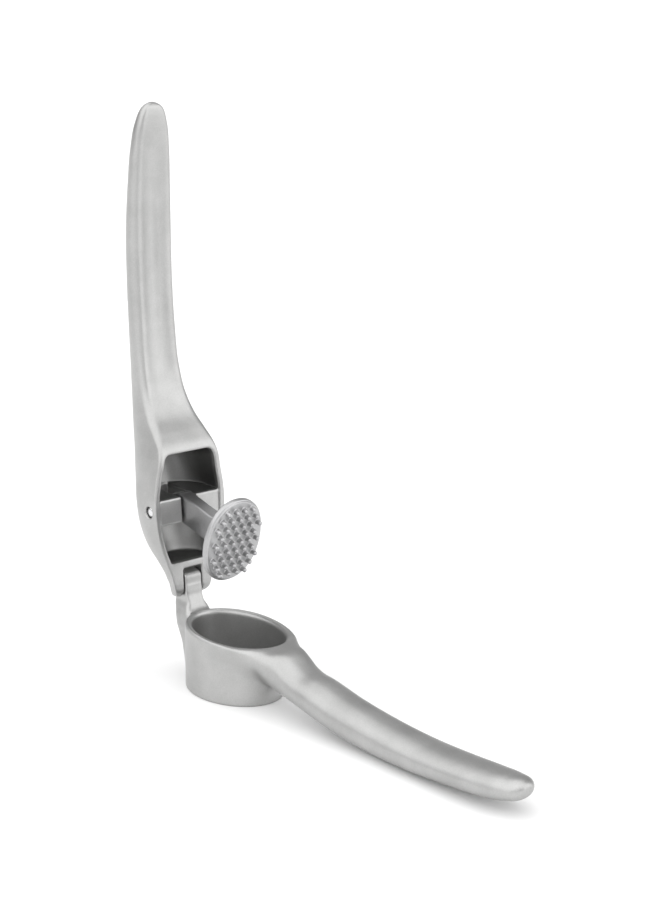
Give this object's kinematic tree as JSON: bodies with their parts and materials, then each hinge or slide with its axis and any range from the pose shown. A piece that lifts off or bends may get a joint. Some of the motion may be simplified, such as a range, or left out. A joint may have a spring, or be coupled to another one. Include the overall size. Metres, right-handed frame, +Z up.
{
  "type": "garlic press",
  "caption": "Cast aluminium garlic press: two bowed levers on one hinge pin, an oval hopper with a perforated floor, and a pivoting studded plunger.",
  "frame": {"origin": "centre of the hopper's base, on the table", "axes": "+Z up, +X along the lower handle away from the hinge, +Y along the hinge pin"},
  "size_m": [0.1899, 0.0306, 0.1959],
  "materials": {
    "cast_aluminium": "fine bead-blasted satin",
    "plunger_aluminium": "fine bead-blasted satin",
    "pin_steel": "turned, bright",
    "sieve_steel": "brushed"
  },
  "bodies": {
    "lower_lever": {"lower_handle": "cast_aluminium", "sieve_plate": "sieve_steel"},
    "upper_lever": {"upper_handle": "cast_aluminium", "hinge_pin": "pin_steel", "plunger_pin": "pin_steel"},
    "plunger_arm": {"plunger": "plunger_aluminium"}
  },
  "joints": [
    {"name": "handle_hinge", "type": "hinge", "parent": "lower_lever", "child": "upper_lever", "pos_m": [-0.028, 0, 0.0317], "axis": [0, 1, 0], "range_deg": [0, 87.5]},
    {"name": "plunger_pivot", "type": "hinge", "parent": "upper_lever", "child": "plunger_arm", "pos_m": [-0.02766, 0, 0.05926], "axis": [0, 1, 0], "range_deg": [-10.8, 0]}
  ],
  "couplings": [
    {"joint": "plunger_pivot", "follows": "handle_hinge", "ratio": -0.122}
  ]
}
